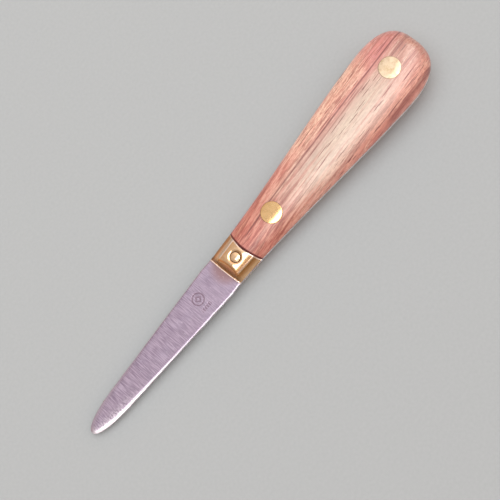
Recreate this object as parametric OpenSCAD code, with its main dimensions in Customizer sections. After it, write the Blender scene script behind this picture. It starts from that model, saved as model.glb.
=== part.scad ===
// Fixed-blade leather knife: one steel blade and full-length tang between two wooden scales,
// with a pinned brass mitre bolster and two brass cutler's rivets. Units are millimetres.
// Knife frame inside the modules: x runs from the tip to the butt, y across the width and
// z through the thickness, with z = 0 at the middle of the steel. The finished knife is
// pitched so that it lies on the ground-flat strip of its lower scale, at z = 0.

/* [Blade] */
// Tip to the front edge of the bolster, on the centre line
blade_len = 73.7; // [55:0.1:100]
// Thickness of the steel under the bolster and scales
tang_t = 2.2; // [1.6:0.1:3.2]
// Depth ground off each face of the exposed blade
grind = 0.1; // [0.05:0.05:0.3]
// Half-width of the two straight sides, projected to the tip
side_root = 3.7; // [2.5:0.1:5]
// Widening of each side per millimetre of length
side_slope = 0.0475; // [0:0.0025:0.08]
// Narrowing of each side at the bolster, kept along the grip
side_step = 0.5; // [0:0.05:1]
// Length of the rounded nose
nose_len = 16; // [8:1:30]
// Squareness of the nose, 2 is an ellipse
nose_p = 2.3; // [2:0.1:4]
// Width of the low bevel round the tip
ease_tip = 2; // [0.5:0.1:2]
// Width of the low bevel at the bolster
ease_heel = 0.7; // [0.2:0.05:1]
// Slope of the bevel at the very edge
ease_tilt = 0.4; // [0.1:0.05:0.5]
// Length over which the bevel narrows
ease_len = 60; // [20:5:70]

/* [Bolster] */
// Length of the brass on the centre line
bolster_len = 10.3; // [8:0.1:16]
// Forward bow of the front edge across the width
front_bow = 0.5; // [0.2:0.1:1.5]
// Forward bow of the joint with the wood
joint_bow = 1.05; // [0.3:0.05:2]
// Sideways shift of the joint's arc, which slews the joint a little
joint_shift = 0.7; // [0:0.1:1.5]
// Thickness of the lip where the brass meets the blade
lip_t = 0.45; // [0.2:0.05:1]
// Thickness of the brass at its long side edges
side_lip = 0.1; // [0.05:0.05:1]
// Half-width of the raised panel
panel_w = 4.3; // [3:0.1:6]
// Height of the panel's long edges above the middle of the steel
panel_edge_z = 3.55; // [2.6:0.05:4.4]
// Height of the panel on the centre line
panel_z = 4.65; // [3.6:0.05:6]
// Run of the front slope, lip to panel
front_run = 3.2; // [1:0.1:4]
// Run of the narrow bevel beside the wood
rear_run = 0.9; // [0.4:0.1:2]
// Drop of that bevel
rear_drop = 0.5; // [0.2:0.1:1.5]
// Radius of the hollow ground along each side slope
cove_r = 7; // [3:0.1:12]

/* [Bolster pin] */
// Diameter of the pin through the bolster
pin_d = 3.5; // [2:0.1:5]
// Distance of the pin behind the bolster's front edge
pin_back = 6.3; // [4:0.1:8]
// Outer diameter of the dish around the pin
dish_d = 5.3; // [4:0.1:7]
// Depth of the dish
dish_t = 0.4; // [0.2:0.05:1]

/* [Handle] */
// Tip to the butt
total_len = 177.1; // [150:0.1:210]
// Half-width where the rounded butt begins
butt_w = 12.75; // [9:0.05:17]
// Widening of each side there, per millimetre
butt_slope = 0.055; // [0:0.005:0.1]
// Length of the rounded butt
butt_len = 22.3; // [12:0.1:40]
// Squareness of the butt
butt_p = 2.8; // [2:0.1:5]
// Drift of the grip's middle towards the spine side, complete where the butt begins
grip_shift = 0.22; // [0:0.02:1]
// Further drift at the very butt, which leaves its end a little slanted
butt_skew = 0.35; // [0:0.05:2]
// Height of the scale at the bolster joint, above the middle of the steel
grip_z = 4.95; // [3.5:0.05:8]
// Rise of the scale per millimetre towards the butt
grip_rise = 0.034; // [0:0.002:0.06]
// Half-width of the flat the shoulders start from at the joint, before grinding
strip_front = 0.3; // [0:0.1:4]
// The same towards the butt
strip_rear = 1; // [0.5:0.1:8]
// Distance from the butt to the end of the flat strip
strip_inset = 5.5; // [3:0.5:15]
// Shoulder exponent at the joint: 0.5 is an ellipse, more is leaner
shoulder_front = 0.7; // [0.4:0.05:1]
// Shoulder exponent at the butt
shoulder_rear = 0.55; // [0.4:0.05:1]

/* [Rivets] */
// Distance of the front rivet from the tip
rivet_front_x = 99.8; // [92:0.1:115]
// Distance of the rear rivet from the tip
rivet_rear_x = 162.9; // [140:0.1:168]
// Diameter of the flush heads
head_d = 7.8; // [6:0.1:10]
// Thickness of the heads at the flat strip
head_t = 2; // [1:0.1:3]
// Outside diameter of the tube half
tube_d = 4.6; // [3.5:0.1:6]
// Diameter of the shank half, a press fit in the tube
shank_d = 3.2; // [2:0.1:4.5]

/* [Hidden] */
$fn = 96;
half_t = tang_t / 2;
joint_x = blade_len + bolster_len;
pin_x = blade_len + pin_back;
// The sides step in over a short run that ends just behind the bolster's front edge
step_from = blade_len - 6;
step_run = 8;
joint_w = side_root + side_slope * joint_x - side_step;
heel_w = side_root + side_slope * blade_len - side_step * smooth((blade_len - step_from) / step_run);
butt_x = total_len - butt_len;
grip_pitch = atan(grip_rise);
// The scales are lofted from a little ahead of the joint, then cut back to it
loft_x = joint_x - 2;
// Radii of the plan arcs whose sagitta over the half-width is the bow
front_r = (heel_w * heel_w + front_bow * front_bow) / (2 * front_bow);
joint_r = (joint_w * joint_w + joint_bow * joint_bow) / (2 * joint_bow);
panel_drop = panel_z - panel_edge_z;
crown_r = (panel_w * panel_w + panel_drop * panel_drop) / (2 * panel_drop);
blade_steps = 40;
grip_steps = 36;
shoulder_steps = 9;
// Height left on the loft for the strip to be ground from
skim = 0.04;
steel = [0.72, 0.70, 0.74];
gold = [0.80, 0.62, 0.36];
rosewood = [0.76, 0.50, 0.43];

// ---- Outlines -------------------------------------------------------------------------

// Superelliptic fall from 1 to 0 as t goes from 0 to 1
function fall(t, p) = pow(max(0, 1 - pow(max(0, min(1, t)), p)), 1 / p);

// Smooth step from 0 to 1
function smooth(t) = let (c = max(0, min(1, t))) c * c * (3 - 2 * c);

function side_w(x) = side_root + side_slope * x - side_step * smooth((x - step_from) / step_run);
function blade_w(x) = side_w(x) * fall(1 - x / nose_len, nose_p);

// Cubic from the joint to the widest part, straight after it
function hermite(t, a, b, run, ma, mb) =
    (2 * t * t * t - 3 * t * t + 1) * a + (t * t * t - 2 * t * t + t) * run * ma
    + (3 * t * t - 2 * t * t * t) * b + (t * t * t - t * t) * run * mb;
function body_w(x) = x < joint_x ? side_w(x)
    : x < butt_x ? hermite((x - joint_x) / (butt_x - joint_x), joint_w, butt_w,
                           butt_x - joint_x, side_slope, butt_slope)
    : butt_w + butt_slope * (x - butt_x);
function grip_w(x) = body_w(x) * fall((x - butt_x) / butt_len, butt_p);
// Middle of the grip's outline
function grip_mid(x) = grip_shift * smooth((x - joint_x) / (butt_x - joint_x))
    + butt_skew * pow(max(0, min(1, (x - butt_x) / butt_len)), 2);

// The flat strip narrows to nothing in the same way, short of the butt
function strip_w(x) =
    (strip_front + (strip_rear - strip_front) * (x - joint_x) / (butt_x - joint_x))
    * fall((x - butt_x) / (butt_len - strip_inset), butt_p);
function grip_top(x) = grip_z + grip_rise * (x - joint_x);

// Stations bunch up towards the rounded end at 1
function bunch(i, n) = sin(90 * i / n);

// One closed plan outline for the steel that sits under the brass and wood
module tang_plan() {
    xs = concat([for (x = [blade_len - 2:1:loft_x - 1]) x],
                [for (i = [0:grip_steps]) loft_x + (total_len - loft_x) * bunch(i, grip_steps)]);
    polygon(concat(
        [for (x = xs) [x, grip_mid(x) - grip_w(x)]],
        [for (i = [len(xs) - 2:-1:0]) [xs[i], grip_mid(xs[i]) + grip_w(xs[i])]]
    ));
}

// ---- Lofts ----------------------------------------------------------------------------

// Skins a stack of rings, each with the same number of points, and closes both ends with
// strips across the ring
module skin(rings) {
    n = len(rings[0]);
    top = len(rings) - 1;
    half = floor(n / 2);
    sides = [for (k = [0:top - 1], i = [0:n - 1])
        let (a = k * n + i, b = k * n + (i + 1) % n)
        each [[a, b + n, b], [a, a + n, b + n]]];
    low = [for (i = [0:half - 1]) let (j = n - 1 - i)
        each (j - i > 2 ? [[i, i + 1, j], [i + 1, j - 1, j]] : [[i, i + 1, j]])];
    high = [for (f = low) [f[2] + top * n, f[1] + top * n, f[0] + top * n]];
    polyhedron(points = [for (r = rings) each r], faces = concat(sides, low, high));
}

// Ring of plan points from the front on one side, round the far end, to the front again
function ring_angle(j, n) = -90 + 90 * j / n;

// Width of the bevel along the blade's edge at x
function ease(x) = ease_heel + (ease_tip - ease_heel) * pow(max(0, 1 - x / ease_len), 1.5);

// Blade loft: rings from the lower face to the upper one, drawn in at both faces
module blade_loft() {
    run = blade_len + 2;
    flat_z = half_t - grind;
    // Face, then inset as a share of the bevel's width
    levels = [[-1, 1], [-1, 0.5], [-1, 0.04], [1, 0.04], [1, 0.5], [1, 1]];
    skin([for (lv = levels)
        [for (j = [0:2 * blade_steps])
            let (
                a = ring_angle(j, blade_steps),
                x = run * (1 - cos(a)),
                inset = ease(x) * lv[1],
                end = inset * cos(a) * fall(x / nose_len, 2)
            )
            [x + end, -sign(a) * max(0, blade_w(x) - inset * fall(1 - x / 4, 2)),
                lv[0] * (flat_z - ease_tilt * ease(x) / 2 * pow(1 - lv[1], 2))]]
    ]);
}

// Scale loft: rings rise from the tang to the flat strip
module scale_loft() {
    skin([for (k = [0:shoulder_steps])
        let (rise = 90 * k / shoulder_steps, inward = 1 - cos(rise))
        [for (j = [0:2 * grip_steps])
            let (
                a = ring_angle(j, grip_steps),
                x = loft_x + (total_len - loft_x) * cos(a),
                xs = loft_x + (total_len - strip_inset - loft_x) * cos(a),
                px = x + (xs - x) * inward,
                side = sign(a),
                py = side * (grip_w(x) + (strip_w(xs) - grip_w(x)) * inward),
                blend = max(0, min(1, (px - joint_x) / (butt_x - joint_x))),
                lean = shoulder_front + (shoulder_rear - shoulder_front) * blend,
                lift = pow(sin(rise), 2 * lean)
            )
            [px, py + grip_mid(px), half_t + (grip_top(px) + skim - half_t) * lift]]
    ]);
}

// Scale before drilling: the loft ground down to one flat strip
module scale_blank() {
    difference() {
        scale_loft();
        translate([joint_x, 0, grip_z])
            rotate([0, -grip_pitch, 0])
                translate([-20, -25, 0])
                    cube([total_len, 50, 10]);
    }
}

// ---- Shared cuts ----------------------------------------------------------------------

// Vertical drum whose forward side is the joint between brass and wood
module joint_drum() {
    translate([joint_x + joint_r, joint_shift, 0])
        cylinder(r = joint_r, h = 40, center = true);
}

// Everything behind the bolster's bowed front edge
module front_drum() {
    translate([blade_len + front_r, 0, 0])
        cylinder(r = front_r, h = 40, center = true);
}

module rivet_holes() {
    for (x = [rivet_front_x, rivet_rear_x])
        translate([x, 0, 0])
            cylinder(d = tube_d, h = 40, center = true);
}

module counterbore(x) {
    translate([x, 0, grip_top(x) - head_t])
        cylinder(d = head_d, h = 10);
}

// Turns a part for the upper side into its twin on the lower side
module underside() {
    mirror([0, 0, 1])
        children();
}

// Knife frame to the resting frame
module lay_down() {
    drop = grip_z - grip_rise * joint_x;
    translate([-total_len / 2 * cos(grip_pitch), 0, drop * cos(grip_pitch)])
        rotate([0, -grip_pitch, 0])
            children();
}

// ---- Sub-parts ------------------------------------------------------------------------

// Blade and tang in one piece, with the pin hole and the two rivet holes
module blade() {
    color(steel) lay_down()
        difference() {
            union() {
                difference() {
                    blade_loft();
                    front_drum();
                }
                intersection() {
                    translate([0, 0, -half_t])
                        linear_extrude(tang_t)
                            tang_plan();
                    union() {
                        front_drum();
                        translate([joint_x, -25, -5])
                            cube([total_len, 50, 10]);
                    }
                }
            }
            translate([pin_x, 0, 0])
                cylinder(d = pin_d, h = 40, center = true);
            rivet_holes();
        }
}

// Brass half: a crowned panel with hollow side slopes, a scooped front and a rear bevel
module bolster_half() {
    side_turn = atan(side_slope);
    difference() {
        intersection() {
            translate([0, 0, half_t])
                linear_extrude(6)
                    tang_plan();
            front_drum();
            translate([blade_len - 1, 0, panel_z - crown_r])
                rotate([0, 90, 0])
                    cylinder(r = crown_r, h = bolster_len + 6);
        }
        joint_drum();
        for (s = [-1, 1])
            bolster_cove(s, side_turn);
        bolster_scoop();
        bolster_rear_bevel();
        translate([pin_x, 0, 0])
            cylinder(d = pin_d, h = 40, center = true);
        translate([pin_x, 0, panel_z - dish_t])
            cylinder(d1 = pin_d, d2 = pin_d + (dish_d - pin_d) * 2, h = dish_t * 2);
    }
}

// Hollow side slope: a cylinder through the panel's long edge and the brass's lower edge
module bolster_cove(s, turn) {
    mid_w = (heel_w + joint_w) / 2;
    low_z = half_t + side_lip;
    dy = mid_w - panel_w;
    dz = panel_edge_z - low_z;
    chord = sqrt(dy * dy + dz * dz);
    reach = sqrt(cove_r * cove_r - chord * chord / 4);
    cy = (mid_w + panel_w) / 2 + reach * dz / chord;
    cz = (panel_edge_z + low_z) / 2 + reach * dy / chord;
    translate([(blade_len + joint_x) / 2, s * cy, cz])
        rotate([0, 90, s * turn])
            cylinder(r = cove_r, h = bolster_len * 3, center = true);
}

// Front slope, bowed in plan like the lip: a cone cut back from the front edge
module bolster_scoop() {
    rise = panel_z - half_t - lip_t;
    big = front_r;
    difference() {
        translate([blade_len - 5, -20, half_t + lip_t])
            cube([front_run + 8, 40, rise + 2]);
        translate([blade_len + big, 0, half_t + lip_t])
            cylinder(r1 = big, r2 = big - front_run, h = rise);
        translate([blade_len + front_run + 1, -20, 0])
            cube([20, 40, 20]);
    }
}

// Narrow bevel that runs along the joint with the wood
module bolster_rear_bevel() {
    translate([joint_x + joint_r, joint_shift, panel_z - rear_drop])
        cylinder(r1 = joint_r, r2 = joint_r + rear_run * 3, h = rear_drop * 3);
}

module bolster_upper() {
    color(gold) lay_down()
        bolster_half();
}

module bolster_lower() {
    color(gold) lay_down()
        underside()
            bolster_half();
}

// Pin with both ends peened to a shallow dome, level with the middle of the panel
module bolster_pin() {
    color(gold) lay_down()
        translate([pin_x, 0, 0])
            intersection() {
                cylinder(d = pin_d, h = 2 * panel_z + 2, center = true);
                sphere(r = panel_z);
            }
}

module scale_half() {
    difference() {
        scale_blank();
        difference() {
            translate([joint_x - 10, -20, -1])
                cube([18, 40, 20]);
            joint_drum();
        }
        rivet_holes();
        counterbore(rivet_front_x);
        counterbore(rivet_rear_x);
    }
}

module scale_upper() {
    color(rosewood) lay_down()
        scale_half();
}

module scale_lower() {
    color(rosewood) lay_down()
        underside()
            scale_half();
}

// Flush head, ground to the same surface as the scale
module rivet_head(x) {
    intersection() {
        translate([x, 0, grip_top(x) - head_t])
            cylinder(d = head_d, h = 6);
        scale_blank();
    }
}

// Tube half, with its head on the upper side
module rivet_female(x) {
    seat = grip_top(x) - head_t;
    difference() {
        union() {
            rivet_head(x);
            translate([x, 0, -seat])
                cylinder(d = tube_d, h = 2 * seat);
        }
        translate([x, 0, -seat - 1])
            cylinder(d = shank_d, h = 2 * seat);
    }
}

// Shank half, with its head on the lower side
module rivet_male(x) {
    seat = grip_top(x) - head_t;
    union() {
        underside()
            rivet_head(x);
        translate([x, 0, -seat])
            cylinder(d = shank_d, h = 2 * seat - 1.4);
    }
}

module front_rivet_female() {
    color(gold) lay_down()
        rivet_female(rivet_front_x);
}

module front_rivet_male() {
    color(gold) lay_down()
        rivet_male(rivet_front_x);
}

module rear_rivet_female() {
    color(gold) lay_down()
        rivet_female(rivet_rear_x);
}

module rear_rivet_male() {
    color(gold) lay_down()
        rivet_male(rivet_rear_x);
}

blade();
bolster_upper();
bolster_lower();
bolster_pin();
scale_upper();
scale_lower();
front_rivet_female();
front_rivet_male();
rear_rivet_female();
rear_rivet_male();
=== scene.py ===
"""Small fixed-blade leather knife: steel blade and tang, pinned brass bolster, rosewood scales
and brass cutler's rivets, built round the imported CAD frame.

Shapes are worked out in the knife frame, in millimetres: x from the tip to the butt, y across
the width with the spine side positive, z through the thickness with 0 at the middle of the
steel. place() turns that into the row frame, in metres, where the knife lies on the flat strip
of its lower scale.
"""

import math

import bmesh
import bpy
import numpy as np
from mathutils import Matrix, Vector


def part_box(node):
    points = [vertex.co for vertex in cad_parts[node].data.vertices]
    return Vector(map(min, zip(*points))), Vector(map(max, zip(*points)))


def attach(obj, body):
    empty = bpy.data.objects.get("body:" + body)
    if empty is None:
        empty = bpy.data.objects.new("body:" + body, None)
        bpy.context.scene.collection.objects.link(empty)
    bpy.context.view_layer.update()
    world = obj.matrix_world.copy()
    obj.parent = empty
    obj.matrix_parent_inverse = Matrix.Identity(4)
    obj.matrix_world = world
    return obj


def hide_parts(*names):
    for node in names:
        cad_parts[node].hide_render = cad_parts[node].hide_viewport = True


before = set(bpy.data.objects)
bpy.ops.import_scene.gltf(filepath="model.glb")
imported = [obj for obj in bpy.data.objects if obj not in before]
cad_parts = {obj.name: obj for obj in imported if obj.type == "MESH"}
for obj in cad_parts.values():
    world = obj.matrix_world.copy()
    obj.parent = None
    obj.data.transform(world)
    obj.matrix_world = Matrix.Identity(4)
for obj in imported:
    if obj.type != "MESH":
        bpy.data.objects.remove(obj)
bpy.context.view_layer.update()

# ---- Dimensions, in millimetres ---------------------------------------------------------
# They are the CAD's, but for the bevel's widths and length, the bolster's front edge and the
# depth of the dish, which are the visual model's own.

# Blade: length, half thickness, depth ground off each face, then its sides and its nose
BLADE_LEN, HALF_T, GRIND = 73.7, 1.1, 0.1
SIDE_ROOT, SIDE_SLOPE, SIDE_STEP, NOSE_LEN, NOSE_P = 3.7, 0.0475, 0.5, 16.0, 2.3
# Bevel: width at the tip and at the heel, the length it narrows over, and its slope
EASE_TIP, EASE_HEEL, EASE_LEN, EASE_TILT = 2.4, 0.67, 50.0, 0.4
# Bolster: length, the joint's arc, the front edge's arc, then lip, panel, slopes and pin
BOLSTER_LEN, JOINT_BOW, JOINT_SHIFT = 10.3, 1.05, 0.7
FRONT_X, FRONT_R, FRONT_SHIFT = 73.3, 95.0, 3.4
LIP_T, SIDE_LIP, PANEL_W, PANEL_EDGE_Z, PANEL_Z = 0.45, 0.1, 4.3, 3.55, 4.65
FRONT_RUN, REAR_RUN, REAR_DROP, COVE_R = 3.2, 0.9, 0.5, 7.0
PIN_R, PIN_BACK, DISH_R, DISH_T = 1.75, 6.3, 2.65, 0.60
# Handle: outline, height, resting strip and rounding
TOTAL_LEN, BUTT_W, BUTT_SLOPE, BUTT_LEN, BUTT_P = 177.1, 12.75, 0.055, 22.3, 2.8
GRIP_SHIFT, BUTT_SKEW = 0.22, 0.35
GRIP_Z, GRIP_RISE = 4.95, 0.034
STRIP_FRONT, STRIP_REAR, STRIP_INSET = 0.3, 1.0, 5.5
SHOULDER_FRONT, SHOULDER_REAR = 0.7, 0.55
# Rivets: places along the knife, then radius and thickness of a head, and tube and shank
RIVETS = {"front": 99.8, "rear": 162.9}
HEAD_R, HEAD_T, TUBE_R, SHANK_R = 3.9, 2.0, 2.3, 1.6
TUBE_FLOOR, SHANK_END = 1.0, 1.4  # below the upper head's seat

JOINT_X = BLADE_LEN + BOLSTER_LEN
PIN_X = BLADE_LEN + PIN_BACK
BOLSTER_MID = (BLADE_LEN + JOINT_X) / 2
STEP_FROM, STEP_RUN = BLADE_LEN - 6, 8.0
JOINT_W = SIDE_ROOT + SIDE_SLOPE * JOINT_X - SIDE_STEP
STEP_AT_HEEL = (BLADE_LEN - STEP_FROM) / STEP_RUN
HEEL_W = SIDE_ROOT + SIDE_SLOPE * BLADE_LEN - SIDE_STEP * STEP_AT_HEEL ** 2 * (3 - 2 * STEP_AT_HEEL)
BUTT_X = TOTAL_LEN - BUTT_LEN
LOFT_X = JOINT_X - 2  # where a scale's along is 0, a little ahead of the joint
LOFT_LEN = TOTAL_LEN - LOFT_X
JOINT_R = (JOINT_W ** 2 + JOINT_BOW ** 2) / (2 * JOINT_BOW)
PANEL_DROP = PANEL_Z - PANEL_EDGE_Z
CROWN_R = (PANEL_W ** 2 + PANEL_DROP ** 2) / (2 * PANEL_DROP)
BLADE_FACE = HALF_T - GRIND
PITCH = math.atan(GRIP_RISE)

# ---- Fine detail, in millimetres, that only the visual model has -------------------------

SKIN = 0.012  # how far the grip's outline stays inside the CAD's
TIP_GAP, EDGE_TRIM = 0.08, 0.002  # the same for the blade's tip and for its sides
STEP_GAP = 0.05  # the steel steps up to the tang's thickness over this length
BROKEN_T, BROKEN_W = 0.10, 0.14  # the steel's broken edge
LIP_W, LIP_DOME = 0.5, 0.13  # the bolster's lip and how far it is rounded
BEAD_SPINE, BEAD_EDGE, BEAD_OUT, BEAD_W = 0.16, 0.07, 0.06, 0.13  # bead along the panel
REAR_EASE_T, REAR_EASE_W = 0.22, 0.45  # eased edge of the brass at the wood
DISH_CURL = 0.23  # share of the dish's depth that steepens towards the pin
GROOVE_T, GROOVE_TILT = 0.3, 2.5  # groove round the pin
SLOPE_SOFT, RIDGE_SOFT, DISH_SOFT = 0.35, 0.06, 0.03  # rounding where surfaces meet
PEEN_R, PEEN_EDGE = 3.6, 0.12  # dome and rounded edge of the pin's ends
ARRIS = 0.4  # eased edge of the wood at the brass
FIT = 0.01  # play of the pin and the heads in their holes
HEAD_GAP, HEAD_EDGE = 0.06, 0.10  # gap round a rivet head and its rounded edge
HEAD_PROUD, HEAD_SUNK = 0.015, 0.003  # upper heads stand out, lower ones lie just under

SHARP, BOLSTER_SHARP = 28, 40  # degrees; edges with a greater angle stay crisp
ROUND = 128  # sides of a turned piece
WELD, SLIVER = 2e-7, 1e-8  # metres

# The steel reaches furthest at the butt end of its lower face, and highest at its upper face
steel_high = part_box("blade")[1]
ORIGIN_X = steel_high.x * 1000 - (TOTAL_LEN * math.cos(PITCH) + HALF_T * math.sin(PITCH))
ORIGIN_Z = steel_high.z * 1000 - (TOTAL_LEN * math.sin(PITCH) + HALF_T * math.cos(PITCH))


def place(points):
    """Knife frame in millimetres to the row frame in metres."""
    p = np.asarray(points, float)
    x, y, z = p[..., 0], p[..., 1], p[..., 2]
    return np.stack([
        ORIGIN_X + x * math.cos(PITCH) - z * math.sin(PITCH),
        y,
        ORIGIN_Z + x * math.sin(PITCH) + z * math.cos(PITCH),
    ], -1) / 1000


# ---- Outlines ---------------------------------------------------------------------------

def fall(t, p):
    """Superelliptic fall from 1 to 0 as t goes from 0 to 1."""
    return np.maximum(0, 1 - np.clip(t, 0, 1) ** p) ** (1 / p)


def smooth(t):
    """Smooth step from 0 to 1."""
    t = np.clip(t, 0, 1)
    return t * t * (3 - 2 * t)


def side_w(x):
    """Half-width of the straight sides, which step in at the bolster."""
    return SIDE_ROOT + SIDE_SLOPE * x - SIDE_STEP * smooth((x - STEP_FROM) / STEP_RUN)


def blade_w(x):
    return side_w(x) * fall(1 - x / NOSE_LEN, NOSE_P)


def body_w(x):
    """Half-width from the blade to the butt, without the butt's rounding."""
    x = np.asarray(x, float)
    run = BUTT_X - JOINT_X
    t = (x - JOINT_X) / run
    cubic = ((2 * t ** 3 - 3 * t ** 2 + 1) * JOINT_W + (t ** 3 - 2 * t ** 2 + t) * run * SIDE_SLOPE
             + (3 * t ** 2 - 2 * t ** 3) * BUTT_W + (t ** 3 - t ** 2) * run * BUTT_SLOPE)
    return np.where(x < JOINT_X, side_w(x),
                    np.where(x < BUTT_X, cubic, BUTT_W + BUTT_SLOPE * (x - BUTT_X)))


def grip_w(x):
    return (body_w(x) - SKIN) * fall((x - BUTT_X) / BUTT_LEN, BUTT_P)


def grip_mid(x):
    """Middle of the grip's outline, which drifts a little towards the spine side."""
    return (GRIP_SHIFT * smooth((x - JOINT_X) / (BUTT_X - JOINT_X))
            + BUTT_SKEW * np.clip((x - BUTT_X) / BUTT_LEN, 0, 1) ** 2)


def strip_w(x):
    """Half-width of the flat strip along the top of a scale."""
    grown = STRIP_FRONT + (STRIP_REAR - STRIP_FRONT) * (x - JOINT_X) / (BUTT_X - JOINT_X)
    return grown * fall((x - BUTT_X) / (BUTT_LEN - STRIP_INSET), BUTT_P)


def grip_top(x):
    return GRIP_Z + GRIP_RISE * (x - JOINT_X)


def front_x(y):
    """The bolster's bowed front edge."""
    return FRONT_X + FRONT_R - np.sqrt(FRONT_R ** 2 - (y - FRONT_SHIFT) ** 2)


def joint_front_x(y):
    """The bowed joint between brass and wood."""
    return JOINT_X + JOINT_R - np.sqrt(JOINT_R ** 2 - (y - JOINT_SHIFT) ** 2)


def shoulder(px, inward):
    """Height of the scale above the middle of the steel."""
    blend = np.clip((px - JOINT_X) / (BUTT_X - JOINT_X), 0, 1)
    lean = SHOULDER_FRONT + (SHOULDER_REAR - SHOULDER_FRONT) * blend
    lift = np.maximum(0, 1 - (1 - inward) ** 2) ** lean
    return HALF_T + (grip_top(px) - HALF_T) * lift


def scale_point(along, inward, side):
    """Point of the scale's surface: along runs to 1 at the butt, inward 0 to 1 to the strip."""
    x = LOFT_X + LOFT_LEN * along
    xs = LOFT_X + (LOFT_LEN - STRIP_INSET) * along
    px = x + (xs - x) * inward
    py = side * (grip_w(x) + (strip_w(xs) - grip_w(x)) * inward)
    return px, py + grip_mid(px), shoulder(px, inward)


def scale_height(x, y):
    """Height of the scale's surface over the plan point (x, y), found by halving."""
    low, high = np.zeros_like(x), np.ones_like(x)
    for _ in range(40):
        mid = (low + high) / 2
        along = (x - LOFT_X) / (LOFT_LEN - STRIP_INSET * mid)
        wider = scale_point(along, mid, 1)[1] - grip_mid(x) > np.abs(y - grip_mid(x))
        low, high = np.where(wider, mid, low), np.where(wider, high, mid)
    return shoulder(x, (low + high) / 2)


# ---- Mesh tools -------------------------------------------------------------------------

def grid_faces(rows, cols, wrap=False, start=0):
    """Quads between neighbouring rows of points, closed round each row if wrap is set."""
    last = cols if wrap else cols - 1
    faces = []
    for i in range(rows - 1):
        for j in range(last):
            a, b = start + i * cols + j, start + i * cols + (j + 1) % cols
            faces.append((a, b, b + cols, a + cols))
    return faces


def make_piece(name, points, faces, sharp=SHARP):
    """Closed, welded, smooth-shaded mesh from knife-frame points."""
    mesh = bpy.data.meshes.new(name)
    mesh.from_pydata(place(points).tolist(), [], faces)
    bm = bmesh.new()
    bm.from_mesh(mesh)
    bmesh.ops.remove_doubles(bm, verts=bm.verts, dist=WELD)
    bmesh.ops.dissolve_degenerate(bm, edges=bm.edges, dist=SLIVER)
    bmesh.ops.recalc_face_normals(bm, faces=bm.faces)
    bm.to_mesh(mesh)
    bm.free()
    piece = bpy.data.objects.new(name, mesh)
    bpy.context.scene.collection.objects.link(piece)
    shade(piece, sharp)
    return piece


def shade(piece, sharp):
    """Smooth shading, with edges sharper than the given degrees kept crisp."""
    piece.data.shade_smooth()
    piece.data.set_sharp_from_angle(angle=math.radians(sharp))


def ring_of(x, radius):
    """Plan points of a circle about the knife's centre line."""
    turn = np.linspace(0, 2 * math.pi, ROUND, endpoint=False)
    return x + radius * np.cos(turn), radius * np.sin(turn)


def rod(x, radius, z_low, z_high):
    """Plain cutter through the knife, for drilling a hole."""
    px, py = ring_of(x, radius)
    points = np.concatenate([np.c_[px, py, np.full(ROUND, z)] for z in (z_low, z_high)])
    faces = grid_faces(2, ROUND, wrap=True)
    faces += [tuple(range(ROUND))[::-1], tuple(range(ROUND, 2 * ROUND))]
    return make_piece("cutter", points, faces)


def drill(piece, cutters, sharp=SHARP):
    """Cuts each cutter out of the piece and removes the cutters."""
    for cutter in cutters:
        cut = piece.modifiers.new("drill", "BOOLEAN")
        cut.object, cut.operation, cut.solver = cutter, "DIFFERENCE", "EXACT"
    bpy.context.view_layer.update()
    held = piece.evaluated_get(bpy.context.evaluated_depsgraph_get())
    mesh = bpy.data.meshes.new_from_object(held)
    piece.modifiers.clear()
    old, piece.data = piece.data, mesh
    mesh.name = piece.name
    bpy.data.meshes.remove(old)
    for cutter in cutters:
        bpy.data.meshes.remove(cutter.data)
    shade(piece, sharp)


def revolve(name, x, profile):
    """Turned piece about a line through the steel at x, from (radius, height) pairs, with the
    first and last radius 0. A height may be a function of the plan point."""
    rings = []
    for radius, height in profile:
        px, py = ring_of(x, radius)
        z = height(px, py) if callable(height) else np.full(ROUND, float(height))
        rings.append(np.stack([px, py, z], -1))
    return make_piece(name, np.concatenate(rings), grid_faces(len(rings), ROUND, wrap=True))


def mirrored(points):
    """The twin on the lower side of the steel."""
    return np.asarray(points) * (1, 1, -1)


def slab(name, top, rim, flip, sharp=SHARP):
    """Closed piece between a grid of surface points and the same grid laid flat on the steel.
    The rim lists the grid's edge points in order."""
    rows, cols = top.shape[:2]
    count = rows * cols
    base = top.copy()
    base[..., 2] = HALF_T
    points = np.concatenate([top.reshape(-1, 3), base.reshape(-1, 3)])
    faces = grid_faces(rows, cols) + grid_faces(rows, cols, start=count)
    for a, b in zip(rim, rim[1:]):
        faces.append((a, b, b + count, a + count))
    return make_piece(name, mirrored(points) if flip else points, faces, sharp)


def hand_over(piece, node, material):
    """Puts the piece in place of its CAD node, in its material."""
    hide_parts(node)
    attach(piece, "root")
    piece.data.materials.clear()
    piece.data.materials.append(material)


# ---- Node materials ---------------------------------------------------------------------
# Places and distances in the masks are in millimetres, in the knife frame. Tones are linear
# red, green and blue.

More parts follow.
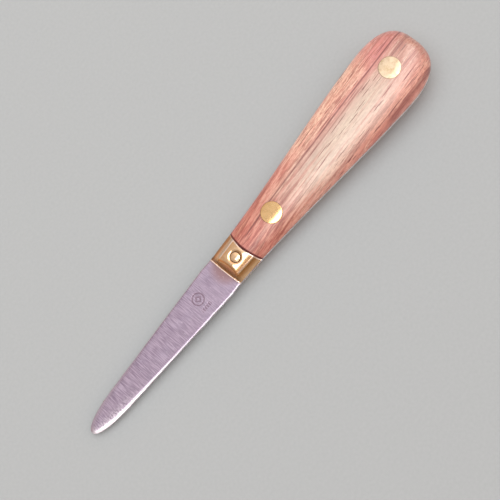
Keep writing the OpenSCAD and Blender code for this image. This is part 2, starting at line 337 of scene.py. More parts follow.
class Tree:
    """Short way to write the nodes of a material or a world."""

    def __init__(self, owner, shader="Principled BSDF"):
        owner.use_nodes = True
        self.owner = owner
        self.nodes, self.links = owner.node_tree.nodes, owner.node_tree.links
        self.shader = self.nodes[shader]
        self.coordinates = self.add("ShaderNodeTexCoord").outputs

    def add(self, kind, **settings):
        node = self.nodes.new(kind)
        for key, value in settings.items():
            setattr(node, key, value)
        return node

    def feed(self, socket, value):
        if isinstance(value, bpy.types.NodeSocket):
            self.links.new(value, socket)
        else:
            socket.default_value = value

    def math(self, operation, *values, clamp=False):
        node = self.add("ShaderNodeMath", operation=operation, use_clamp=clamp)
        for socket, value in zip(node.inputs, values):
            self.feed(socket, value)
        return node.outputs[0]

    def step(self, value, low, high, out_low=0.0, out_high=1.0):
        """Smooth step of value from low to high."""
        node = self.add("ShaderNodeMapRange", interpolation_type="SMOOTHSTEP")
        for socket, given in zip(node.inputs, (value, low, high, out_low, out_high)):
            self.feed(socket, given)
        return node.outputs[0]

    def mix(self, amount, one, two, blend="MIX"):
        node = self.add("ShaderNodeMix", data_type="RGBA", blend_type=blend)
        self.feed(node.inputs[0], amount)
        self.feed(node.inputs[6], one)
        self.feed(node.inputs[7], two)
        return node.outputs[2]

    def paint(self, colour, *layers):
        """Lays tones over a colour one after another, each where its mask says."""
        for mask, tone, *blend in layers:
            colour = self.mix(mask, colour, (*tone, 1), *blend)
        return colour

    def split(self, vector):
        node = self.add("ShaderNodeSeparateXYZ")
        self.feed(node.inputs[0], vector)
        return node.outputs

    def join(self, x, y, z):
        node = self.add("ShaderNodeCombineXYZ")
        for socket, value in zip(node.inputs, (x, y, z)):
            self.feed(socket, value)
        return node.outputs[0]

    def noise(self, vector, scale, detail, rough=0.5):
        node = self.add("ShaderNodeTexNoise")
        named = {"Vector": vector, "Scale": scale, "Detail": detail, "Roughness": rough}
        for name, value in named.items():
            self.feed(node.inputs[name], value)
        return node.outputs["Fac"]

    def stretched(self, position, scales, detail, rough=0.5):
        """Noise with a scale of its own along each axis, for long or flat shapes."""
        scaled = [self.math("MULTIPLY", c, k) for c, k in zip(position, scales)]
        return self.noise(self.join(*scaled), 1.0, detail, rough)

    def bump(self, height, strength, distance, under=None):
        node = self.add("ShaderNodeBump")
        self.feed(node.inputs["Height"], height)
        node.inputs["Strength"].default_value = strength
        node.inputs["Distance"].default_value = distance
        if under is not None:
            self.links.new(under, node.inputs["Normal"])
        return node.outputs[0]

    def knife(self):
        """Position in the knife frame, in millimetres."""
        x, y, z = self.split(self.coordinates["Object"])
        x = self.math("SUBTRACT", self.math("MULTIPLY", x, 1000.0), ORIGIN_X)
        y = self.math("MULTIPLY", y, 1000.0)
        z = self.math("SUBTRACT", self.math("MULTIPLY", z, 1000.0), ORIGIN_Z)
        along = self.math("ADD", self.math("MULTIPLY", x, math.cos(PITCH)),
                          self.math("MULTIPLY", z, math.sin(PITCH)))
        above = self.math("SUBTRACT", self.math("MULTIPLY", z, math.cos(PITCH)),
                          self.math("MULTIPLY", x, math.sin(PITCH)))
        return along, y, above

    def away(self, x, y, at_x, at_y):
        """Distance in plan from a point."""
        dx, dy = self.math("SUBTRACT", x, at_x), self.math("SUBTRACT", y, at_y)
        squares = self.math("ADD", self.math("MULTIPLY", dx, dx), self.math("MULTIPLY", dy, dy))
        return self.math("SQRT", squares)

    def near(self, value, centre, reach, soft=None):
        """1 at the centre value, falling smoothly to 0 at the given reach."""
        off = self.math("ABSOLUTE", self.math("SUBTRACT", value, centre))
        return self.step(off, reach * 0.3 if soft is None else reach - soft, reach, 1.0, 0.0)

    def both(self, *masks):
        out = masks[0]
        for mask in masks[1:]:
            out = self.math("MULTIPLY", out, mask)
        return out

    def finish(self, **sockets):
        for name, value in sockets.items():
            self.feed(self.shader.inputs[name.replace("_", " ")], value)
        return self.owner


def new_material(name):
    return Tree(bpy.data.materials.new(name))


# Etched mark: its ring's centre, radius and line, the lozenge in it, and the bars below
MARK_X, MARK_Y, MARK_R, MARK_LINE = 60.2, 1.3, 2.15, 0.42
LOZENGE_R, LOZENGE_LINE = 1.05, 0.6
BARS_BELOW, BARS_TALL, BARS_LONG, BARS_HALF_PITCH = 4.1, 0.75, 2.25, 0.45


def etched_mark(t, x, y):
    """Faint ring with a lozenge in it, and a row of short plain bars below."""
    ring = t.near(t.away(x, y, MARK_X, MARK_Y), MARK_R, MARK_LINE)
    dx = t.math("ABSOLUTE", t.math("SUBTRACT", x, MARK_X))
    dy = t.math("ABSOLUTE", t.math("SUBTRACT", y, MARK_Y))
    lozenge = t.near(t.math("ADD", dx, dy), LOZENGE_R, LOZENGE_LINE)
    row = t.near(y, MARK_Y - BARS_BELOW, BARS_TALL, 0.15)
    to_bar = t.math("PINGPONG", t.math("SUBTRACT", x, MARK_X), BARS_HALF_PITCH)
    bars = t.both(row, t.step(to_bar, 0.12, 0.26), t.near(x, MARK_X, BARS_LONG, 0.1))
    return t.math("MAXIMUM", ring, t.math("MAXIMUM", lozenge, bars))


# Brushed tones and marks, with painted light among them: the brass's painted reflection, the tip and
# rim highlights, the near-white tang and the lift on the spine side
STEEL_TONES = {
    "dark": (0.32, 0.253, 0.335), "light": (0.585, 0.49, 0.595),
    "rosy": (0.62, 0.45, 0.56), "bluish": (0.46, 0.43, 0.60),
    "heel": (0.58, 0.50, 0.61), "brass_reflection": (0.42, 0.27, 0.27),
    "speck": (0.75, 0.67, 0.76), "pit": (0.33, 0.26, 0.345),
    "tip highlight": (0.96, 0.89, 0.95), "bare tang highlight": (0.97, 0.95, 0.96),
    "rim highlight": (0.92, 0.88, 0.92), "spine rim painted light": (0.62, 0.56, 0.70),
    "etching": (0.20, 0.13, 0.17),
}


def steel_material():
    """Mauve satin steel, brushed straight across the blade."""
    t, tone = new_material("cross_brushed_steel"), STEEL_TONES
    spot = x, y, z = t.knife()
    fine = t.stretched(spot, (2.9, 0.22, 1.0), 1.0)
    broad = t.stretched(spot, (1.5, 0.14, 0.5), 3.0, 0.6)
    cloud = t.stretched(spot, (0.13, 0.22, 0.3), 2.0)
    spark = t.stretched(spot, (1.7, 0.8, 1.0), 3.0, 0.7)
    fleck = t.stretched(spot, (3.0, 3.0, 3.0), 4.0, 0.75)
    brushing = t.math("ADD", t.math("MULTIPLY", fine, 0.9), t.math("MULTIPLY", broad, 0.1))
    colour = t.mix(t.step(brushing, 0.30, 0.70), (*tone["dark"], 1), (*tone["light"], 1))
    # Faint clouds, a lighter heel, a brown painted reflection of the brass by the heel, and specks
    brass_reflection = t.step(t.away(x, y, BLADE_LEN + 1.5, 0.5), 7.5, 3.0, 0.0, 0.9)
    colour = t.paint(
        colour,
        (t.step(cloud, 0.44, 0.62, 0.0, 0.06), tone["rosy"]),
        (t.step(cloud, 0.46, 0.32, 0.0, 0.06), tone["bluish"]),
        (t.step(x, 40.0, 72.0, 0.0, 0.3), tone["heel"]),
        (brass_reflection, tone["brass_reflection"]),
        (t.step(spark, 0.60, 0.68, 0.0, 0.5), tone["speck"]),
        (t.step(spark, 0.40, 0.32, 0.0, 0.3), tone["pit"]))
    # Painted highlights: a mottled bright patch round the tip on its edge side, the bare satin tang
    # painted near-white so its edge shows as a bright line, and the bevel's two sides, a bright rim
    # on the edge side and painted light on the spine side
    worn = t.math("ADD", y, t.math("MULTIPLY", x, 0.10))
    # Painted highlight: a mottled bright patch round the tip, strongest on the edge side
    tip = t.both(t.step(x, 4.0, 32.0, 1.0, 0.0), t.step(spark, 0.42, 0.58),
                 t.step(worn, 1.6, -2.4, 0.08, 1.0))
    ragged = t.math("ADD", z, t.math("MULTIPLY", t.math("SUBTRACT", fine, 0.5), 0.3))
    # Painted highlight along the bevel on the edge side
    rim = t.both(t.step(ragged, BLADE_FACE - 0.02, BLADE_FACE - 0.16),
                 t.step(x, 90.0, 70.0), t.step(y, 1.5, -1.0))
    # Painted light that lifts the bevel on the spine side near the tip
    spine_rim_painted_light = t.both(t.step(z, BLADE_FACE - 0.02, BLADE_FACE - 0.20),
                       t.step(x, 70.0, 40.0), t.step(y, 0.5, 1.5))
    mark = t.both(etched_mark(t, x, y), t.step(z, 0.5, 0.8), t.step(fleck, 0.25, 0.5, 0.45, 1.0))
    colour = t.paint(
        colour,
        (t.math("MULTIPLY", tip, 0.95), tone["tip highlight"]),
        # bare steel painted near-white: a painted highlight along the tang's edge
        (t.step(x, JOINT_X, JOINT_X + 2), tone["bare tang highlight"]),
        (t.math("MULTIPLY", rim, 0.8), tone["rim highlight"]),
        (t.math("MULTIPLY", spine_rim_painted_light, 0.7), tone["spine rim painted light"]),
        (t.math("MULTIPLY", mark, 0.62), tone["etching"]))
    rough = t.math("ADD", t.step(broad, 0.3, 0.7, 0.40, 0.43), t.math("MULTIPLY", mark, 0.1))
    normal = t.bump(fine, 0.2, 0.00003)
    normal = t.bump(t.math("SUBTRACT", 1.0, mark), 0.5, 0.00005, normal)
    # The finish was rubbed straight across, so it scatters light lengthwise
    swirl = t.math("MULTIPLY", t.math("SUBTRACT", cloud, 0.5), 0.3)
    return t.finish(Base_Color=colour, Roughness=rough, Normal=normal, Metallic=1.0,
                    Anisotropic=0.7, Tangent=t.join(1.0, swirl, 0.0))


# Tones of the bolster's painted light: reflection bands, painted shade and pale painted highlights
BRASS_TONES = {
    "warm reflection": (0.84, 0.54, 0.36), "dark flank reflection": (0.36, 0.25, 0.18), "slope": (1.0, 0.54, 0.25),
    "shade beside slope": (0.60, 0.38, 0.20), "painted_shade": (0.10, 0.035, 0.015),
    "pale highlight": (1.0, 0.87, 0.81), "amber reflection": (0.86, 0.44, 0.17),
}


def brass_zones(t, x, y):
    """Masks on the bolster, measured as bolster_height() measures it: back from the front edge,
    ahead of the joint with the wood, and out from the middle. On a rivet they are all 0."""
    back = t.math("SUBTRACT", FRONT_R, t.away(x, y, FRONT_X + FRONT_R, FRONT_SHIFT))
    ahead = t.math("SUBTRACT", t.away(x, y, JOINT_X + JOINT_R, JOINT_SHIFT), JOINT_R)
    out = t.math("ABSOLUTE", y)
    turned = t.math("MULTIPLY", t.math("SUBTRACT", x, BOLSTER_MID), SIDE_SLOPE)
    side = t.math("SUBTRACT", out, turned)
    on_panel = t.step(back, 2.4, 3.2)
    return {
        # Painted shade in the groove round the pin and at the foot of the front slope
        "ring": t.near(t.away(x, y, PIN_X, 0.0), PIN_R + 0.06, 0.24),
        "foot": t.both(t.step(back, 0.40, 0.6), t.step(back, 2.6, 1.1)),
        # Painted highlights on the lip, the rubbed ridges beside the panel and the rear bevel
        "lip": t.step(back, 0.50, 0.38),
        "ridge": t.both(t.near(side, PANEL_W + 0.05, 0.32), on_panel, t.step(ahead, 0.1, 0.3)),
        "rear": t.both(t.near(ahead, 0.32, 0.42), t.step(y, 5.2, 4.2, 0.3, 1.0)),
        # Painted reflections on the spine-side flank: a warm band and a dark band outside it
        "warm reflection": t.both(t.step(y, 4.5, 5.0, 0.0, 0.8), t.step(y, 6.3, 5.7)),
        "dark flank reflection": t.step(y, 5.6, 6.3, 0.0, 0.75),
        # Painted orange reflection on the front slope
        "slope": t.both(t.step(back, 1.3, 2.0, 0.0, 0.85), t.step(back, 3.3, 2.7),
                        t.step(out, 5.4, 4.6)),
        # Painted shade on the panel between the front slope and the pin
        "shade beside slope": t.both(t.step(back, 2.8, 3.3, 0.0, 0.45), t.step(back, 4.6, 3.8),
                               t.step(out, 4.2, 3.4)),
        # Painted amber reflection along the panel's edge away from the spine
        "amber reflection": t.both(t.near(side, PANEL_W - 0.5, 0.95), t.step(y, -1.0, -2.5, 0.0, 0.6),
                        on_panel, t.step(ahead, 0.3, 0.9)),
    }


def brass_material(name, base, dull, rough, patina):
    """Handled brass: rubbed pale along its edges, the paleness a painted highlight, with painted
    dark reflections in the hollows turned from the spine and painted shade round the pin and at the
    foot of the front slope."""
    t, tone = new_material(name), BRASS_TONES
    spot = x, y, z = t.knife()
    cloud = t.noise(t.join(*spot), 0.55, 4.0, 0.6)
    speck = t.noise(t.join(*spot), 2.4, 4.0, 0.7)
    rub = t.stretched(spot, (1.2, 8.0, 1.0), 3.0, 0.6)
    facing = t.split(t.add("ShaderNodeNewGeometry").outputs["Normal"])
    # Painted dark reflection: steep faces turned away from the spine take the dull tone
    hollow = t.both(t.step(t.math("ABSOLUTE", facing[2]), 0.88, 0.66, 0.0, 0.65),
                    t.step(facing[1], 0.25, 0.05))
    zone = brass_zones(t, x, y)
    # Painted shade round the pin and at the foot of the front slope, mottled by noise
    shaded_spots = t.math("MAXIMUM", zone["ring"], t.math("MULTIPLY", zone["foot"], 0.6))
    painted_shade = t.both(shaded_spots, t.step(speck, 0.2, 0.6, 0.7, 1.0))
    # Rubbed ridges and rear bevel, and the lip, painted pale as highlights
    rubbed = t.math("MAXIMUM", t.math("MULTIPLY", zone["ridge"], 0.9),
                    t.math("MULTIPLY", zone["rear"], 0.8))
    pale = t.math("MAXIMUM", t.math("MULTIPLY", zone["lip"], 0.9), rubbed)
    worn = t.math("MULTIPLY", t.step(cloud, 0.42, 0.68), patina)
    spotted = t.math("MULTIPLY", t.step(speck, 0.55, 0.75), 0.5 * patina)
    # Painted light over the brass: dark reflections in the hollows, reflection bands and shade on the
    # flanks and slopes, painted shade round the pin, and pale painted highlights
    colour = t.paint(
        t.mix(worn, (*base, 1), (*dull, 1)),
        (spotted, [0.6 * c for c in dull]),
        (hollow, (*dull[:2], 0.7 * dull[2])),
        *[(zone[key], tone[key]) for key in ("warm reflection", "dark flank reflection", "slope", "shade beside slope")],
        (t.math("MULTIPLY", painted_shade, 0.85), tone["painted_shade"]),
        (pale, tone["pale highlight"]),
        (zone["amber reflection"], tone["amber reflection"]))
    dulled = t.math("MULTIPLY", t.math("MAXIMUM", painted_shade, pale), 0.25)
    gloss = t.math("ADD", t.step(speck, 0.3, 0.75, *rough), dulled)
    normal = t.bump(rub, 0.12, 0.00003)
    normal = t.bump(cloud, 0.10, 0.00025, normal)
    return t.finish(Base_Color=colour, Roughness=gloss, Normal=normal, Metallic=1.0)


# Long dark growth lines: offset across, half-width, strength, and the stretch they run over
GROWTH_LINES = [
    (3.25, 0.20, 0.90, 84, 200),
    (-1.25, 0.55, 0.45, 80, 98),
    (1.55, 0.20, 0.45, 112, 158),
    (-4.9, 0.13, 0.45, 100, 124),
    (0.15, 0.55, 0.45, 162, 182),
    (-9.2, 0.50, 0.35, 118, 160),
    (-12.9, 0.55, 0.70, 146, 200),
    (5.6, 0.35, 0.35, 120, 156),
    (-3.1, 0.35, 0.30, 84, 110),
    (7.6, 0.30, 0.35, 150, 176),
]

# Noise layers of the wood, coarse to fine: scale along, across and through, detail, roughness
WOOD_NOISE = {
    "bands": ((0.010, 0.34, 0.10), 2.0, 0.45),
    "stripes": ((0.016, 1.5, 0.25), 3.0, 0.6),
    "streaks": ((0.075, 1.35, 0.5), 2.5, 0.6),
    "threads": ((0.11, 1.0, 0.6), 3.0, 0.62),
    "fibre": ((0.26, 2.4, 1.2), 2.5, 0.6),
    "grit": ((0.9, 1.7, 1.2), 2.0, 0.6),
    "pores": ((0.075, 2.6, 1.2), 1.0, 0.5),
}

# Some tones are painted light: the pale middle is partly a painted sheen, the middle's darkening is
# painted shade, and the joint's grime is painted shadow
WOOD_TONES = {
    "red": (0.65, 0.255, 0.215), "tan": (0.73, 0.40, 0.31), "flame": (0.60, 0.215, 0.14),
    "rose": (0.60, 0.26, 0.30), "stripe": (0.50, 0.165, 0.15), "orange": (0.86, 0.42, 0.29),
    "golden": (0.90, 0.64, 0.47), "dark streak": (0.57, 0.20, 0.16),
    "light streak": (0.82, 0.56, 0.44), "fibre": (0.50, 0.18, 0.14), "grit": (0.42, 0.15, 0.115),
    "dark thread": (0.62, 0.50, 0.48), "light thread": (0.90, 0.52, 0.42),
    "pale_and_sheen": (0.68, 0.68, 0.55), "pore": (0.20, 0.055, 0.05), "joint grime": (0.11, 0.012, 0.012),
    "by the brass": (0.80, 0.65, 0.60), "butt": (0.80, 0.80, 0.81), "middle_shade": (0.88, 0.95, 0.925),
}


def wood_grain(t, x, y, z):
    """Position across the grain, which runs straight, two degrees off the knife's line, but for
    a little sway and a sweep at the brass."""
    sway = t.stretched((x, y, z), (0.02, 0.10, 0.10), 2.0)
    grain = t.math("SUBTRACT", y, t.math("MULTIPLY", t.math("SUBTRACT", x, 102.0), 0.035))
    grain = t.math("ADD", grain, t.step(x, 84.0, 104.0, 0.9, 0.0))
    return t.math("ADD", grain, t.math("MULTIPLY", t.math("SUBTRACT", sway, 0.5), 1.2))


def growth_lines(t, x, grain):
    """Mask of all the growth lines, each fading in and out along its stretch."""
    lines = 0.0
    for offset, half_width, strength, start, stop in GROWTH_LINES:
        fade_in = t.step(x, start, start + 6, 0.0, strength)
        fade_out = t.step(x, stop - 8, stop, 1.0, 0.0)
        line = t.both(t.near(grain, offset, 2 * half_width), fade_in, fade_out)
        lines = t.math("MAXIMUM", lines, line)
    return lines


def wood_material():
    """Oiled rosewood, red at the brass and at the butt, with a pale middle, partly a painted sheen
    toned down by painted shade, and painted shadow at the joint.
    """
    t, tone = new_material("oiled_rosewood"), WOOD_TONES
    x, y, z = t.knife()
    grain = wood_grain(t, x, y, z)
    layer = {name: t.stretched((x, grain, z), *how) for name, how in WOOD_NOISE.items()}
    stripes, streaks, threads, fibre = (layer[k] for k in ("stripes", "streaks", "threads", "fibre"))
    # Broad zones of colour
    flame = t.both(t.near(grain, -11.8, 2.4), t.near(x, 130.0, 46.0, 20.0))
    rose = t.both(t.step(x, 150.0, 168.0), t.step(y, 1.0, 6.0))
    orange = t.both(t.step(y, -4.5, -7.0, 0.0, 0.4), t.step(y, -12.0, -9.5),
                    t.step(x, 88.0, 100.0))
    golden = t.both(t.step(x, 112.0, 122.0), t.step(x, 164.0, 154.0),
                    t.step(grain, 3.2, 5.2, 0.0, 0.75))
    # The pale middle: partly lighter wood, partly a painted sheen where the coat's highlight falls
    pale_and_sheen = t.both(t.near(x, 136.0, 40.0), t.near(y, -2.5, 9.0),
                   t.step(stripes, 0.66, 0.46, 0.3, 1.0))
    by_brass = t.step(x, 136.0, 100.0, 0.25, 1.0)
    # Dark streaks are fainter in the two light zones
    light = t.math("MAXIMUM", t.math("MULTIPLY", pale_and_sheen, 0.7), t.math("MULTIPLY", golden, 0.6))
    dark = t.both(t.step(streaks, 0.505, 0.56, 0.0, 0.62), t.math("SUBTRACT", 1.0, light))
    lines = t.both(growth_lines(t, x, grain), t.step(z, 0.5, 2.0), t.step(fibre, 0.3, 0.6, 0.7, 1.0))
    pits = t.both(t.step(layer["pores"], 0.652, 0.675, 0.0, 0.95), t.near(x, 146.0, 34.0, 12.0),
                  t.step(fibre, 0.25, 0.5, 0.5, 1.0))
    # Distance behind the joint, where the wood is darker, and its edge painted dark as the shadow in
    # the groove
    inside = t.math("SUBTRACT", JOINT_R, t.away(x, y, JOINT_X + JOINT_R, JOINT_SHIFT))
    inside = t.math("MAXIMUM", inside, t.math("SUBTRACT", x, JOINT_X + 3))
    groove = t.step(inside, 0.34, 0.72, 0.96, 0.0)
    colour = t.paint(
        t.mix(t.step(layer["bands"], 0.36, 0.62), (*tone["red"], 1), (*tone["tan"], 1)),
        (t.math("MULTIPLY", flame, 0.45), tone["flame"]),
        (t.math("MULTIPLY", rose, 0.4), tone["rose"]),
        (t.step(stripes, 0.50, 0.68, 0.0, 0.6), tone["stripe"]),
        (orange, tone["orange"]),
        (golden, tone["golden"]),
        (dark, tone["dark streak"]),
        (t.step(streaks, 0.46, 0.38, 0.0, 0.4), tone["light streak"]),
        (t.step(fibre, 0.495, 0.55, 0.0, 0.62), tone["fibre"]),
        (t.step(layer["grit"], 0.48, 0.58, 0.0, 0.3), tone["grit"]),
        (t.both(by_brass, t.step(threads, 0.51, 0.60, 0.0, 0.75)), tone["dark thread"], "MULTIPLY"),
        (t.both(by_brass, t.step(threads, 0.48, 0.38, 0.0, 0.5)), tone["light thread"]),
        # pale middle, partly a painted sheen
        (t.math("MULTIPLY", pale_and_sheen, 0.42), tone["pale_and_sheen"]),
        (t.math("MAXIMUM", lines, pits), tone["pore"]),
        (t.step(inside, 0.0, 38.0, 1.0, 0.0), tone["by the brass"], "MULTIPLY"),
        (t.step(x, 166.0, 176.0), tone["butt"], "MULTIPLY"),
        # painted shadow in the groove at the joint
        (groove, tone["joint grime"]),
        # painted shade along the middle, toning down the coat's sheen there
        (t.both(t.near(y, -0.5, 8.0), t.step(x, 88.0, 100.0)), tone["middle_shade"], "MULTIPLY"))
    normal = t.bump(fibre, 0.25, 0.00006)
    normal = t.bump(t.math("SUBTRACT", 1.0, pits), 0.2, 0.00004, normal)
    # Less coat near the brass, and the coat taken off the groove so its painted shadow stays dark
    oiled = t.math("SUBTRACT", t.step(inside, 0, 24, 0.45, 0.75), groove, clamp=True)
    return t.finish(Base_Color=colour, Roughness=t.step(fibre, 0.3, 0.7, 0.40, 0.55),
                    Normal=normal, Coat_Weight=oiled, Coat_Roughness=0.34)


STEEL = steel_material()
WOOD = wood_material()
BRASS = brass_material("polished_brass", base=(0.91, 0.64, 0.38), dull=(0.74, 0.44, 0.22),
                       rough=(0.12, 0.24), patina=0.5)
RIVET = brass_material("rubbed_brass", base=(0.92, 0.61, 0.28), dull=(0.74, 0.48, 0.21),
                       rough=(0.16, 0.30), patina=0.5)
PATINA = brass_material("mottled_brass", base=(0.80, 0.65, 0.45), dull=(0.62, 0.46, 0.26),
                        rough=(0.30, 0.5), patina=0.9)


# ---- Blade and tang ---------------------------------------------------------------------

STEP_X = BLADE_LEN + 1.1  # the tang's extra thickness starts under the brass


def steel_w(x):
    return np.where(x <= STEP_X, blade_w(x), grip_w(x))


def steel_half_t(x, y):
    """Half thickness: a low rounded bevel that widens towards the tip, and a broken edge."""
    rim_x = TOTAL_LEN * (1 - np.cos(np.linspace(0, math.pi, 1600))) / 2
    rim_y = steel_w(rim_x)
    away = np.min(np.hypot(x[..., None] - rim_x, np.abs(y)[..., None] - rim_y), axis=-1)
    reach = EASE_HEEL + (EASE_TIP - EASE_HEEL) * np.maximum(0, 1 - x / EASE_LEN) ** 1.5
    bevel = EASE_TILT * reach / 2 * np.maximum(0, 1 - away / reach) ** 2
    broken = BROKEN_T * np.maximum(0, 1 - away / BROKEN_W) ** 2
    return np.where(x <= STEP_X, BLADE_FACE - bevel, HALF_T) - broken


def build_blade():
    """One grid: stations from the tip to the butt, each a closed loop round the steel."""
    turn = np.linspace(0, math.pi / 2, 120)
    front = TIP_GAP + (STEP_X - TIP_GAP) * (1 - np.cos(turn))
    back = STEP_X + STEP_GAP + (TOTAL_LEN - STEP_X - STEP_GAP) * np.sin(turn)
    x = np.concatenate([front, back])
    share = 1 - np.linspace(0, 1, 27) ** 2.2
    share = np.concatenate([share, -share[-2::-1]])
    width = steel_w(x) - EDGE_TRIM
    width[[0, -1]] = 0
    px, off = np.meshgrid(x, share, indexing="ij")
    off = off * width[:, None]
    half = steel_half_t(px, off)
    y = off + grip_mid(px)
    upper, lower = np.stack([px, y, half], -1), np.stack([px, y, -half], -1)
    points = np.concatenate([upper, lower[:, ::-1]], 1)
    count, around = points.shape[:2]
    piece = make_piece("blade_and_tang", points.reshape(-1, 3),
                       grid_faces(count, around, wrap=True))
    drill(piece, [rod(PIN_X, PIN_R, -5, 5)] + [rod(at, TUBE_R, -5, 5) for at in RIVETS.values()])
    return piece


# ---- Bolster ----------------------------------------------------------------------------

def soft_min(surfaces, k):
    """Smooth lower envelope, rounded over about k millimetres."""
    low = np.min(surfaces, axis=0)
    return low - k * np.log(sum(np.exp(-(s - low) / k) for s in surfaces))


def cove_centre():
    """Centre of the arc that hollows a side slope, out from the middle and up."""
    mid_w, low_z = (HEEL_W + JOINT_W) / 2, HALF_T + SIDE_LIP
    dy, dz = mid_w - PANEL_W, PANEL_EDGE_Z - low_z
    chord = math.hypot(dy, dz)
    reach = math.sqrt(COVE_R ** 2 - chord ** 2 / 4)
    return (mid_w + PANEL_W) / 2 + reach * dz / chord, (PANEL_EDGE_Z + low_z) / 2 + reach * dy / chord


def side_cove(side):
    """Height of the hollow side slope, and out of the way above the panel."""
    cy, cz = cove_centre()
    off = np.clip((side - cy) / COVE_R, -1, 1)
    cove = np.where(side < cy, cz - COVE_R * np.sqrt(1 - off ** 2), cz - COVE_R)
    return np.where(side < cy - 0.98 * COVE_R, 50.0, cove)


def pin_dish(x, y, crown):
    """A cone cut into the crown round the pin, with a narrow groove at the pin itself."""
    r = np.hypot(x - PIN_X, y)
    inner = (DISH_R - r) / (DISH_R - PIN_R)
    curl = DISH_CURL * inner ** 2 * np.sign(inner)
    cone = crown - DISH_T * ((1 - DISH_CURL) * inner + curl)
    groove = cone - GROOVE_T + np.maximum(0, r - PIN_R) * GROOVE_TILT
    return soft_min([cone, groove], DISH_SOFT)


def bolster_height(x, y):
    """Top of the bolster: a crowned panel between a front slope, two hollow sides that turn
    with the outline, and a rear bevel, both ends bowed in plan like the edges they follow."""
    crown = PANEL_Z - CROWN_R + np.sqrt(np.maximum(CROWN_R ** 2 - y ** 2, 0))
    side = np.abs(y) - SIDE_SLOPE * (x - BOLSTER_MID)
    lip_z = HALF_T + LIP_T
    back = FRONT_R - np.hypot(x - FRONT_X - FRONT_R, y - FRONT_SHIFT)
    scoop = lip_z + np.maximum(back - LIP_W, 0) * (PANEL_Z - lip_z) / (FRONT_RUN - LIP_W)
    scoop = scoop + LIP_DOME * np.sin(math.pi * np.clip(back / LIP_W, 0, 1))
    ahead = np.hypot(x - JOINT_X - JOINT_R, y - JOINT_SHIFT) - JOINT_R
    bevel = PANEL_Z - REAR_DROP + ahead * REAR_DROP / REAR_RUN
    # Worn bead along both long sides of the panel
    across = (side - PANEL_W - BEAD_OUT) / BEAD_W
    bead = np.where(y > 0, BEAD_SPINE, BEAD_EDGE) * np.exp(-across ** 2 / 2)
    front = soft_min([crown, scoop], SLOPE_SOFT) + bead
    lowest = HALF_T + 0.5 * SIDE_LIP
    top = np.maximum(soft_min([front, side_cove(side), bevel], RIDGE_SOFT), lowest)
    eased = REAR_EASE_T * np.clip(1 - ahead / REAR_EASE_W, 0, 1) ** 2
    top = np.maximum(top - eased, lowest)
    return np.minimum(top, pin_dish(x, y, crown))


def build_bolster(name, flip):
    """Height field over the plan between the two bowed edges, on a flat base."""
    t = np.linspace(-1, 1, 281)
    t = np.sign(t) * (1 - (1 - np.abs(t)) ** 1.15)
    s = np.concatenate([np.linspace(0, 0.08, 25), np.linspace(0.08, 0.4, 51)[1:],
                        np.linspace(0.4, 1, 91)[1:]])
    tt, ss = np.meshgrid(t, s)
    x = front_x(tt * HEEL_W) * (1 - ss) + joint_front_x(tt * JOINT_W) * ss
    for _ in range(6):
        y = tt * body_w(x)
        x = front_x(y) * (1 - ss) + joint_front_x(y) * ss
    y = tt * body_w(x)
    rows, cols = x.shape
    rim = (list(range(cols)) + [i * cols + cols - 1 for i in range(1, rows)]
           + [(rows - 1) * cols + j for j in range(cols - 2, -1, -1)]
           + [i * cols for i in range(rows - 2, -1, -1)])
    top = np.stack([x, y, bolster_height(x, y)], -1)
    piece = slab(name, top, rim, flip, BOLSTER_SHARP)
    drill(piece, [rod(PIN_X, PIN_R + FIT, -8, 8)], BOLSTER_SHARP)
    return piece


def build_pin():
    """Straight pin with both ends peened to a shallow dome."""
    flat_r = PIN_R - PEEN_EDGE
    half = []
    for r in np.linspace(0, flat_r, 12):
        half.append((r, PANEL_Z - PEEN_R + math.sqrt(PEEN_R ** 2 - r ** 2)))
    edge = half[-1][1]
    for a in np.radians(np.linspace(15, 90, 6)):
        half.append((flat_r + PEEN_EDGE * math.sin(a), edge - PEEN_EDGE * (1 - math.cos(a))))
    return revolve("peened_pin", PIN_X, half + [(r, -z) for r, z in half[::-1]])


# ---- Scales and rivets ------------------------------------------------------------------

def scale_line(inward, side, share, stations):
    """Points along the scale from the joint to the butt, after the eased edge at the brass."""
    along = 0.02
    for _ in range(60):
        y = scale_point(along, inward, side * share)[1]
        along = (joint_front_x(y) + ARRIS - LOFT_X) / (LOFT_LEN - STRIP_INSET * inward)
    px, py, pz = scale_point(along + (1 - along) * stations, inward, side * share)
    lip = []
    for a in np.radians([0, 22.5, 45, 67.5]):
        drop = ARRIS * (1 - math.sin(a))
        lip.append((px[0] - ARRIS * math.cos(a), py[0], max(HALF_T, pz[0] - drop)))
    px = np.minimum(px, TOTAL_LEN - SKIN)
    return np.concatenate([lip, np.stack([px, py, pz], -1)])


def build_scale(name, flip):
    """Loft from the tang up to the flat strip, with the rivets' holes and counterbores."""
    inward = 1 - np.cos(np.linspace(0, math.pi / 2, 34))
    middle = np.linspace(-1, 1, 7)[1:-1]
    columns = [(k, -1, 1.0) for k in inward] + [(1.0, 1, m) for m in middle]
    columns += [(k, 1, 1.0) for k in inward[::-1]]
    stations = np.sin(np.linspace(0, math.pi / 2, 150))
    top = np.stack([scale_line(*column, stations) for column in columns], 1)
    rows, cols = top.shape[:2]
    rim = ([i * cols for i in range(rows - 1, 0, -1)] + list(range(cols))
           + [i * cols + cols - 1 for i in range(1, rows)])
    piece = slab(name, top, rim, flip)
    sign = -1 if flip else 1
    cutters = []
    for at in RIVETS.values():
        seat = grip_top(at) - HEAD_T
        cutters.append(rod(at, HEAD_R + FIT, *sorted((sign * seat, sign * 20))))
        cutters.append(rod(at, TUBE_R, -20, 20))
    drill(piece, cutters)
    return piece


